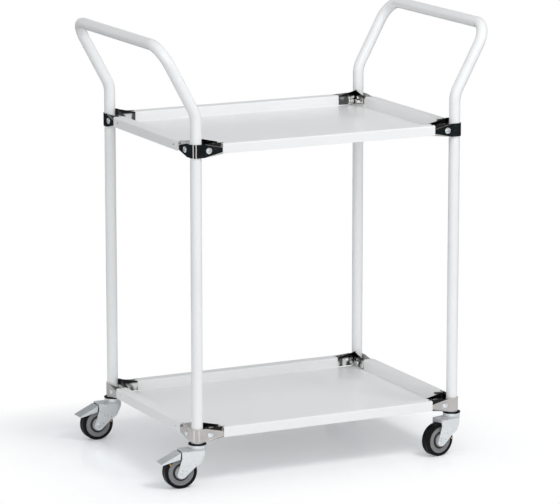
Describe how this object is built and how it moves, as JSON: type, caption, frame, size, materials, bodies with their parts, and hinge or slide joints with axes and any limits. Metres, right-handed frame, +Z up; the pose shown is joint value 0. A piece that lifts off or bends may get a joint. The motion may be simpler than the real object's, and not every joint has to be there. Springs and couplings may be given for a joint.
{
  "type": "transport trolley",
  "caption": "Transport trolley with two rimmed sheet shelves, bent tube end frames that form push handles, pressed corner brackets and swivel casters, braked at one end.",
  "frame": {"origin": "on the floor, at the centre of the post rectangle", "axes": "+X along the trolley towards the unbraked end, +Y across it, +Z up"},
  "size_m": [0.831, 0.5264, 0.9945],
  "materials": {
    "frame_paint": "semi-gloss white powder coat on steel tube",
    "tray_paint": "semi-gloss white powder coat on sheet steel",
    "bright_chrome": "bright chrome plating",
    "zinc_plate": "bright zinc plating",
    "grey_plastic": "matte moulded plastic",
    "black_rubber": "matte rubber tyre"
  },
  "bodies": {
    "frame": {"end_frame_left": "frame_paint", "end_frame_right": "frame_paint", "tray_lower": "tray_paint", "tray_upper": "tray_paint", "bracket_lower_fl": "bright_chrome", "clamp_lower_fl": "bright_chrome", "bolt_lower_fl_a": "bright_chrome", "bolt_lower_fl_b": "bright_chrome", "bracket_lower_fr": "bright_chrome", "clamp_lower_fr": "bright_chrome", "bolt_lower_fr_a": "bright_chrome", "bolt_lower_fr_b": "bright_chrome", "bracket_lower_br": "bright_chrome", "clamp_lower_br": "bright_chrome", "bolt_lower_br_a": "bright_chrome", "bolt_lower_br_b": "bright_chrome", "bracket_lower_bl": "bright_chrome", "clamp_lower_bl": "bright_chrome", "bolt_lower_bl_a": "bright_chrome", "bolt_lower_bl_b": "bright_chrome", "bracket_upper_fl": "bright_chrome", "clamp_upper_fl": "bright_chrome", "bolt_upper_fl_a": "bright_chrome", "bolt_upper_fl_b": "bright_chrome", "bracket_upper_fr": "bright_chrome", "clamp_upper_fr": "bright_chrome", "bolt_upper_fr_a": "bright_chrome", "bolt_upper_fr_b": "bright_chrome", "bracket_upper_br": "bright_chrome", "clamp_upper_br": "bright_chrome", "bolt_upper_br_a": "bright_chrome", "bolt_upper_br_b": "bright_chrome", "bracket_upper_bl": "bright_chrome", "clamp_upper_bl": "bright_chrome", "bolt_upper_bl_a": "bright_chrome", "bolt_upper_bl_b": "bright_chrome", "caster_head_fl": "zinc_plate", "caster_head_fr": "zinc_plate", "caster_head_br": "zinc_plate", "caster_head_bl": "zinc_plate"},
    "swivel_fork_fl": {"fork_fl": "zinc_plate", "axle_fl": "zinc_plate"},
    "wheel_fl": {"wheel_core_fl": "grey_plastic", "tyre_fl": "black_rubber"},
    "brake_fl": {"pedal_fl": "zinc_plate"},
    "swivel_fork_fr": {"fork_fr": "zinc_plate", "axle_fr": "zinc_plate"},
    "wheel_fr": {"wheel_core_fr": "grey_plastic", "tyre_fr": "black_rubber"},
    "swivel_fork_br": {"fork_br": "zinc_plate", "axle_br": "zinc_plate"},
    "wheel_br": {"wheel_core_br": "grey_plastic", "tyre_br": "black_rubber"},
    "swivel_fork_bl": {"fork_bl": "zinc_plate", "axle_bl": "zinc_plate"},
    "wheel_bl": {"wheel_core_bl": "grey_plastic", "tyre_bl": "black_rubber"},
    "brake_bl": {"pedal_bl": "zinc_plate"}
  },
  "joints": [
    {"name": "swivel_fl", "type": "hinge", "parent": "frame", "child": "swivel_fork_fl", "pos_m": [-0.32, -0.234, 0.087], "axis": [0, 0, 1], "continuous": true},
    {"name": "wheel_spin_fl", "type": "hinge", "parent": "swivel_fork_fl", "child": "wheel_fl", "pos_m": [-0.3619, -0.23107, 0.0375], "axis": [0.0698, 0.9976, 0], "continuous": true},
    {"name": "brake_pedal_fl", "type": "hinge", "parent": "swivel_fork_fl", "child": "brake_fl", "pos_m": [-0.34095, -0.23254, 0.07975], "axis": [-0.0698, -0.9976, 0], "range_deg": [-7.5, 2]},
    {"name": "swivel_fr", "type": "hinge", "parent": "frame", "child": "swivel_fork_fr", "pos_m": [0.32, -0.234, 0.087], "axis": [0, 0, 1], "continuous": true},
    {"name": "wheel_spin_fr", "type": "hinge", "parent": "swivel_fork_fr", "child": "wheel_fr", "pos_m": [0.27892, -0.24273, 0.0375], "axis": [-0.2079, 0.9781, 0], "continuous": true},
    {"name": "swivel_br", "type": "hinge", "parent": "frame", "child": "swivel_fork_br", "pos_m": [0.32, 0.234, 0.087], "axis": [0, 0, 1], "continuous": true},
    {"name": "wheel_spin_br", "type": "hinge", "parent": "swivel_fork_br", "child": "wheel_br", "pos_m": [0.27892, 0.24273, 0.0375], "axis": [0.2079, 0.9781, 0], "continuous": true},
    {"name": "swivel_bl", "type": "hinge", "parent": "frame", "child": "swivel_fork_bl", "pos_m": [-0.32, 0.234, 0.087], "axis": [0, 0, 1], "continuous": true},
    {"name": "wheel_spin_bl", "type": "hinge", "parent": "swivel_fork_bl", "child": "wheel_bl", "pos_m": [-0.362, 0.234, 0.0375], "axis": [0, 1, 0], "continuous": true},
    {"name": "brake_pedal_bl", "type": "hinge", "parent": "swivel_fork_bl", "child": "brake_bl", "pos_m": [-0.341, 0.234, 0.07975], "axis": [0, -1, 0], "range_deg": [-7.5, 2]}
  ]
}
